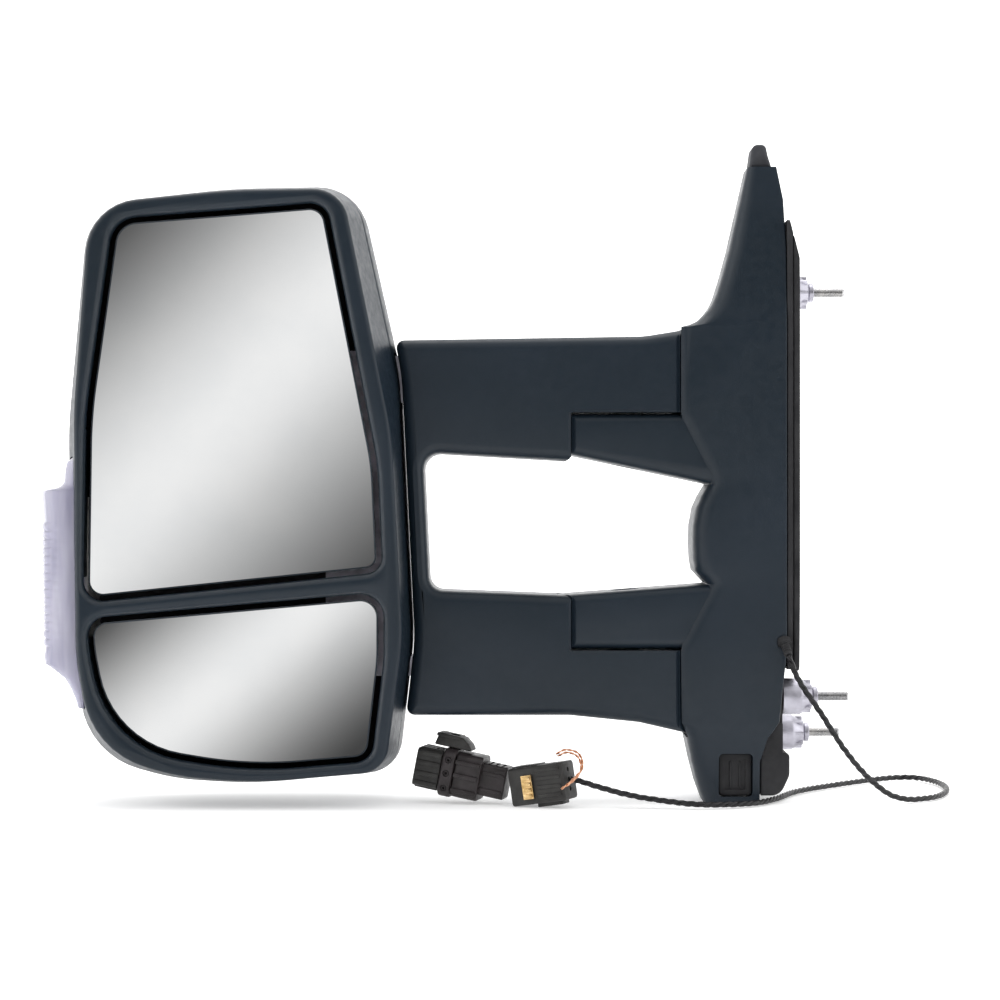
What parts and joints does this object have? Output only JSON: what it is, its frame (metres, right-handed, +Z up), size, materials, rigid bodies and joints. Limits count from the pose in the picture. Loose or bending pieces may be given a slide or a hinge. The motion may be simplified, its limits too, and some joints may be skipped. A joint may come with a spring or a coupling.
{
  "type": "car side mirror",
  "caption": "Folding long-arm door mirror for a large van: two adjustable glasses in one head on a twin-arm yoke, side indicator, door base with studs, seal and wiring lead.",
  "frame": {"origin": "on the door-side face of the seal, in line with the folding joint's axis and level with the middle of the gap between the arms' split lines", "axes": "+X into the door, +Y forward along the vehicle, +Z up; the glasses face -Y and the folding axis is parallel to +Z"},
  "size_m": [0.5858, 0.1804, 0.4207],
  "materials": {
    "shell": "fine grain moulded, dark blue-black",
    "structure": "plain dark moulding",
    "alloy": "cast, satin",
    "coated_alloy": "cast, under black paint",
    "steel": "zinc plated",
    "rubber": "matt",
    "mirror_glass": "silvered",
    "lens": "clear, faint lilac tint",
    "pale_plastic": "natural acetal",
    "connector": "dark brown-grey",
    "brass": "bare",
    "cable_sleeve": "black sleeved wires"
  },
  "bodies": {
    "base": {"base_cover": "shell", "base_backplate": "structure", "foot_lobe": "structure", "access_plug": "structure", "base_frame": "coated_alloy", "upper_stud_sleeve": "alloy", "lower_rear_stud_sleeve": "alloy", "lower_front_stud_sleeve": "alloy", "upper_stud": "steel", "lower_rear_stud": "steel", "lower_front_stud": "steel", "upper_hinge_pin": "steel", "lower_hinge_pin": "steel", "detent_washer": "steel", "detent_spring": "steel", "door_gasket": "rubber", "top_seal_tab": "rubber", "cable_grommet": "rubber", "main_plug_shroud": "connector", "main_plug_body": "connector", "main_plug_latch": "connector", "second_plug_body": "connector", "second_plug_terminals": "brass", "wire_pigtail": "brass", "harness_cable": "cable_sleeve"},
    "arm": {"yoke_rear_shell": "shell", "yoke_front_shell": "shell", "yoke_frame": "alloy", "upper_bush": "pale_plastic", "lower_bush": "pale_plastic", "head_frame": "structure", "head_bezel": "shell", "head_cap": "shell", "lens_cover": "lens", "lens_housing": "pale_plastic", "indicator_bulb": "lens", "bulb_holder": "structure", "actuator_case": "structure", "actuator_cover": "structure", "pan_motor": "steel", "tilt_motor": "steel", "actuator_screw_1": "steel", "actuator_screw_2": "steel", "actuator_screw_3": "steel", "head_bolt_1": "steel", "head_bolt_2": "steel", "head_bolt_3": "steel", "spot_post": "structure"},
    "main_gimbal": {"gimbal_ring": "steel"},
    "main_mirror": {"main_carrier": "structure", "main_heater_pad": "structure", "main_glass": "mirror_glass"},
    "pan_rod": {"pan_rod": "pale_plastic"},
    "tilt_rod": {"tilt_rod": "pale_plastic"},
    "pan_nut": {"pan_nut": "pale_plastic"},
    "tilt_nut": {"tilt_nut": "pale_plastic"},
    "spot_gimbal": {"spot_gimbal_ring": "steel"},
    "spot_mirror": {"spot_carrier": "structure", "spot_heater_pad": "structure", "spot_glass": "mirror_glass"}
  },
  "joints": [
    {"name": "arm_fold", "type": "hinge", "parent": "base", "child": "arm", "pos_m": [-0.109, 0, 0], "axis": [0, 0, 1], "range_deg": [-60, 72]},
    {"name": "glass_pan", "type": "hinge", "parent": "arm", "child": "main_gimbal", "pos_m": [-0.3552, -0.035, 0.062], "axis": [0, 0, 1], "range_deg": [-8, 8]},
    {"name": "glass_tilt", "type": "hinge", "parent": "main_gimbal", "child": "main_mirror", "pos_m": [-0.3552, -0.035, 0.062], "axis": [1, 0, 0], "range_deg": [-8, 8]},
    {"name": "pan_rod_slide", "type": "slide", "parent": "arm", "child": "pan_rod", "axis": [0, 1, 0], "range_m": [-0.005, 0.005]},
    {"name": "tilt_rod_slide", "type": "slide", "parent": "arm", "child": "tilt_rod", "axis": [0, 1, 0], "range_m": [-0.005, 0.005]},
    {"name": "pan_nut_spin", "type": "hinge", "parent": "arm", "child": "pan_nut", "pos_m": [-0.3232, 0, 0.062], "axis": [0, 1, 0], "range_deg": [-272, 272]},
    {"name": "tilt_nut_spin", "type": "hinge", "parent": "arm", "child": "tilt_nut", "pos_m": [-0.3552, 0, 0.03], "axis": [0, 1, 0], "range_deg": [-272, 272]},
    {"name": "spot_pan", "type": "hinge", "parent": "arm", "child": "spot_gimbal", "pos_m": [-0.3514, -0.035, -0.1128], "axis": [0, 0, 1], "range_deg": [-7, 7]},
    {"name": "spot_tilt", "type": "hinge", "parent": "spot_gimbal", "child": "spot_mirror", "pos_m": [-0.3514, -0.035, -0.1128], "axis": [1, 0, 0], "range_deg": [-7, 7]}
  ],
  "couplings": [
    {"joint": "pan_rod_slide", "follows": "glass_pan", "m_per_rad": 0.032},
    {"joint": "tilt_rod_slide", "follows": "glass_tilt", "m_per_rad": 0.032},
    {"joint": "pan_nut_spin", "follows": "glass_pan", "ratio": 33.5},
    {"joint": "tilt_nut_spin", "follows": "glass_tilt", "ratio": 33.5}
  ]
}
